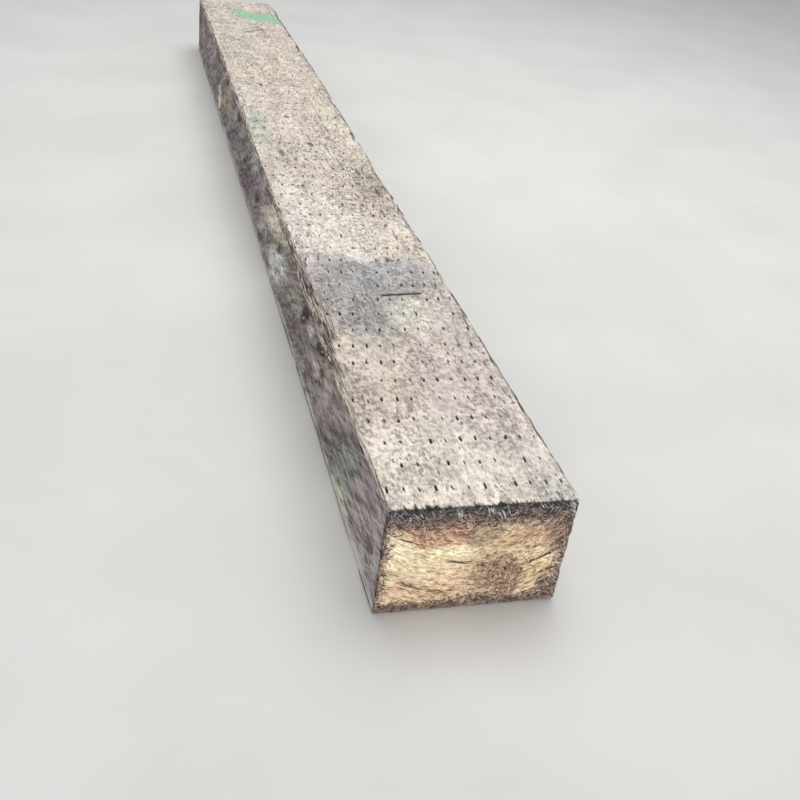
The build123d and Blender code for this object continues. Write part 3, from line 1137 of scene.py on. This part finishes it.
# Long loose strands on the saw cut: from and to in y and z, width, colour
STRANDS = [
    ((-72, 70), (-113, 91), 2.4, (238, 218, 184)), ((-70, 64), (-110, 84), 1.6, (84, 64, 52)),
    ((100, 116), (70, 103), 1.8, (96, 74, 60)), ((112, 118), (74, 96), 1.4, (214, 184, 150)),
    ((50, 122), (18, 108), 1.8, (236, 196, 168)), ((60, 128), (36, 108), 1.4, (120, 88, 70)),
    ((-60, 112), (-88, 128), 1.6, (226, 202, 178)), ((-84, 108), (-108, 122), 2.0, (232, 214, 198)),
    ((-52, 60), (-54, 18), 1.6, (190, 168, 138)), ((-62, 52), (-60, 12), 1.2, (120, 100, 84)),
    ((88, 47), (62, 34), 1.8, (92, 70, 54)), ((52, 31), (26, 22), 1.6, (102, 78, 60)),
    ((34, 78), (4, 69), 2.0, (112, 96, 70)), ((-92, 49), (-112, 54), 2.2, (84, 64, 48)),
    ((70, 30), (30, 17), 1.6, (240, 214, 190)), ((100, 40), (80, 30), 1.6, (236, 206, 180)),
]
# How far the zones of fibres run over into each other
ZONE_EDGE = 3.5
# How far from the middle roots stay, and the lowest and highest of fibres and of tufts
ROOT_REACH = 117
ROOT_HEIGHTS = (3, 157)
TUFT_HEIGHTS = (4, 156)
FIBRE_WIDTHS = (0.5, 1.4)
ROOT_SINK = 0.6
EDGE_CLEARANCE = 0.8
# The saw cut's edge lies this far in from the end, on average
MEAN_END = 0.6


def end_depth(y, z):
    """How far the saw cut's surface lies inside the timber's end at a place."""
    recess, _ = near_relief(np.array([[y, z]]))
    return recess[0] + MEAN_END


def end_fibre(fibres, rng, y, z, across, length, lift, tint):
    """A fibre on the saw cut, from a place in a direction across the face."""
    root = Vector((START + end_depth(y, z) + ROOT_SINK, y, z))
    furthest = WIDTH / 2 - EDGE_CLEARANCE
    tip = Vector((max(START + 0.2, root.x - ROOT_SINK - lift),
                  between(y + across[0] * length, -furthest, furthest),
                  between(z + across[1] * length, EDGE_CLEARANCE, HEIGHT - EDGE_CLEARANCE)))
    bow = Vector((-lift * 0.3, rng.normal(0, 0.05) * length, rng.normal(0, 0.05) * length))
    if root.x + bow.x < START + MEAN_END:
        bow.x = 0
    fibres.add(root, tip, bow, rng.uniform(*FIBRE_WIDTHS), tint)


def varied(rng, colours):
    """One of the colours, a little lighter or darker, as a linear tint."""
    bright = rng.uniform(0.88, 1.10)
    return srgb([min(255, c * bright) for c in colours[rng.integers(len(colours))]])


def sawn_edge_fibres():
    """What the saw tore loose on the newly cut end."""
    rng = np.random.default_rng(11)
    fibres = Fibres()
    for count, ys, zs, lengths, lifts, stray, colours in END_FIBRES:
        for _ in range(count):
            y = between(rng.uniform(*ys) + rng.normal(0, ZONE_EDGE), -ROOT_REACH, ROOT_REACH)
            z = between(rng.uniform(*zs) + rng.normal(0, ZONE_EDGE), *ROOT_HEIGHTS)
            ring = math.atan2(y - HEART_Y, HEIGHT + HEART_ABOVE_TOP - z)
            angle = ring + math.radians(rng.normal(0, stray)) + rng.integers(2) * math.pi
            across = (math.cos(angle), math.sin(angle))
            end_fibre(fibres, rng, y, z, across, rng.uniform(*lengths), rng.uniform(*lifts),
                      varied(rng, colours))
    for (y, z), (to_y, to_z), width, colour in STRANDS:
        root = Vector((START + end_depth(y, z) - 0.2, y, z))
        tip = Vector((START + max(end_depth(to_y, to_z) - 1.2, MEAN_END), to_y, to_z))
        bow = Vector((-0.4, rng.normal(0, 1), rng.normal(0, 1)))
        fibres.add(root, tip, bow, width, srgb(colour))
    for count, y, z, spread, across, lengths in TUFTS:
        for _ in range(count):
            turned = Vector([way + rng.normal(0, 0.25) for way in across]).normalized()
            at_y = between(y + rng.uniform(-spread, spread), -ROOT_REACH, ROOT_REACH)
            at_z = between(z + rng.uniform(-4, 4), *TUFT_HEIGHTS)
            end_fibre(fibres, rng, at_y, at_z, turned, rng.uniform(*lengths), TUFT_LIFT,
                      varied(rng, PALE))
    fibres.make("sawn_edge_fibres")


# Colours of the splinters on the upper arrises
SPLINTERS = [(208, 202, 194), (180, 168, 154), (142, 130, 121), (100, 88, 83), (72, 62, 59),
             (204, 188, 180)]
BLEACHED = [(228, 220, 208), (210, 200, 188), (190, 178, 164), (152, 140, 130)]
# Splinters: how many, which arris, u from and to, colours
SPLINTER_RUNS = [
    (220, 1, 60, 330, BLEACHED), (420, 1, 330, 640, SPLINTERS), (40, 1, 480, 545, SPLINTERS),
    (240, 1, 640, 1100, SPLINTERS), (260, 1, 1100, 2560, SPLINTERS),
    (220, -1, 30, 1300, SPLINTERS), (320, -1, 1300, 2560, SPLINTERS),
]
SPLINTER_LENGTHS = (12, 46)
SPLINTER_LIFTS = (0.6, 3.2)
SPLINTER_WIDTHS = (0.9, 2.2)
# Where an arris is worn less than this, splinters start as if it were worn so much
LEAST_WEAR = 2.2
# Tips stay clear of the ends and of the faces by this much
TIP_END_CLEARANCE = 3
TIP_FACE_CLEARANCE = 0.3


def arris_splinters():
    """Splinters that lift off the two upper arrises."""
    rng = np.random.default_rng(12)
    fibres = Fibres()
    for count, side, u0, u1, colours in SPLINTER_RUNS:
        _, _, wear, seed = ARRISES[0 if side > 0 else 1]
        for _ in range(count):
            u = rng.uniform(u0, u1)
            depth = max(float(wear_depth(u, wear, seed)), LEAST_WEAR)
            skew = rng.uniform(-1, 1) * depth * 1.2
            length = rng.uniform(*SPLINTER_LENGTHS) * rng.choice((-1, 1))
            inward = (math.sqrt(2) * depth + skew) / 2
            downward = (math.sqrt(2) * depth - skew) / 2
            root = Vector((START + u, side * (WIDTH / 2 - inward - ROOT_SINK),
                           HEIGHT - downward - ROOT_SINK))
            lift = min(rng.uniform(*SPLINTER_LIFTS), depth * 0.6)
            tip = root + Vector((length, side * (lift + rng.normal(0, 0.8)),
                                 lift + rng.normal(0, 0.8)))
            tip.x = between(tip.x, START + TIP_END_CLEARANCE, START + LENGTH - TIP_END_CLEARANCE)
            tip.y = side * min(side * tip.y, WIDTH / 2 - TIP_FACE_CLEARANCE)
            tip.z = min(tip.z, HEIGHT - TIP_FACE_CLEARANCE)
            bow = Vector((0, 0, rng.normal(0, 0.5)))
            fibres.add(root, tip, bow, rng.uniform(*SPLINTER_WIDTHS), varied(rng, colours))
    fibres.make("arris_splinters")


# The object

mesh = timber_mesh()
for material in (
    weathered_top(),
    weathered_side("weathered_right", 200, ((126, 118, 112), (152, 143, 136), (130, 132, 120)),
                   RIGHT_PATCHES, -0.15, 0.3),
    weathered_side("weathered_under", 300, ((96, 89, 84), (122, 113, 106), (104, 104, 96)), [],
                   0.0, 0.0),
    weathered_side("weathered_left", 100, ((116, 105, 104), (148, 136, 136), (122, 126, 117)),
                   SIDE_PATCHES, -0.45, 0.95),
    sawn_end(),
    old_end(),
):
    mesh.materials.append(material)
timber = add_object("timber", mesh)
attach(timber, "root")
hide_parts("sleeper")

FIBRE = fibre_material()
sawn_edge_fibres()
arris_splinters()


# The stage, lights and camera

FLOOR_HALF = 30
floor_mesh = bpy.data.meshes.new("floor")
floor_mesh.from_pydata(
    [(x * FLOOR_HALF, y * FLOOR_HALF, 0) for x, y in ((-1, -1), (1, -1), (1, 1), (-1, 1))],
    [], [(0, 1, 2, 3)])
floor_mesh.materials.append(floor_material())
floor = add_object("floor", floor_mesh)


def area_light(name, where, target, size, watts, colour, spread=180):
    """A soft square light that faces a point. Its spread is in degrees."""
    data = bpy.data.lights.new(name, "AREA")
    data.shape = "SQUARE"
    data.size = size
    data.energy = watts
    data.color = colour
    data.spread = math.radians(spread)
    lamp = add_object(name, data)
    lamp.location = where
    lamp.rotation_mode = "QUATERNION"
    lamp.rotation_quaternion = (Vector(target) - Vector(where)).to_track_quat("-Z", "Y")


area_light("overhead", (0.3, -0.6, 3.4), (0, 0, 0.1), 3.0, 88, (1.0, 0.99, 0.97))
area_light("front", (-7.0, 1.7, 1.5), (-1.2, 0, 0.1), 2.6, 31, (1.0, 0.98, 0.96), 60)

world = bpy.data.worlds.new("soft_daylight")
world.use_nodes = True
sky = world.node_tree.nodes["Background"]
sky.inputs["Color"].default_value = (0.93, 0.96, 1.0, 1.0)
sky.inputs["Strength"].default_value = 0.5
bpy.context.scene.world = world
bpy.context.scene.view_settings.view_transform = "Standard"

# The camera stands where the photograph's did, as fitted to the timber's corners and edges
camera_data = bpy.data.cameras.new("camera")
camera_data.sensor_width = 36
camera_data.lens = 45.3
camera_data.clip_end = 200
camera = add_object("camera", camera_data)
camera.location = (-2.1464, 0.4071, 0.8666)
camera.rotation_euler = tuple(math.radians(a) for a in (57.758, -7.117, -104.079))
bpy.context.scene.camera = camera
